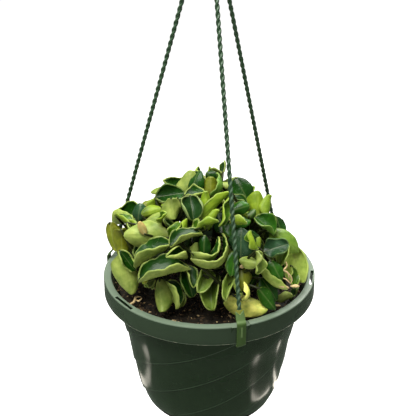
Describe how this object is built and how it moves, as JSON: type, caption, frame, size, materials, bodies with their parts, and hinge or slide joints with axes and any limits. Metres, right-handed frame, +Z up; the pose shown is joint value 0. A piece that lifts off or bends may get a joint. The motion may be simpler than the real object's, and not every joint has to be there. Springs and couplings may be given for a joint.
{
  "type": "hanging rope plant in a pot",
  "caption": "Hindu rope plant, a waxy trailing vine with tightly curled leaves, growing in a green plastic hanging pot on twisted cords that meet in a hook.",
  "frame": {"origin": "where the inside of the hanger's hook bears on what holds it up, straight above the middle of the pot", "axes": "+Z up; the side that the picture shows faces -Y; the hook opens towards +X"},
  "size_m": [0.2046, 0.2046, 0.5166],
  "materials": {
    "pot": "satin, dark green",
    "hanger": "satin, mid green",
    "soil": "matt, near black",
    "leaves": "waxy, dark above and pale green beneath"
  },
  "bodies": {
    "root": {"pot": "pot", "soil": "soil", "hook": "hanger", "strand_1": "hanger", "strand_2": "hanger", "strand_3": "hanger", "clip_1": "hanger", "clip_2": "hanger", "clip_3": "hanger", "stem_middle": "leaves", "stem_inner_1": "leaves", "stem_inner_2": "leaves", "stem_inner_3": "leaves", "stem_inner_4": "leaves", "stem_outer_1": "leaves", "stem_outer_2": "leaves", "stem_outer_3": "leaves", "stem_outer_4": "leaves", "stem_outer_5": "leaves", "stem_outer_6": "leaves", "stem_outer_7": "leaves"}
  },
  "joints": []
}
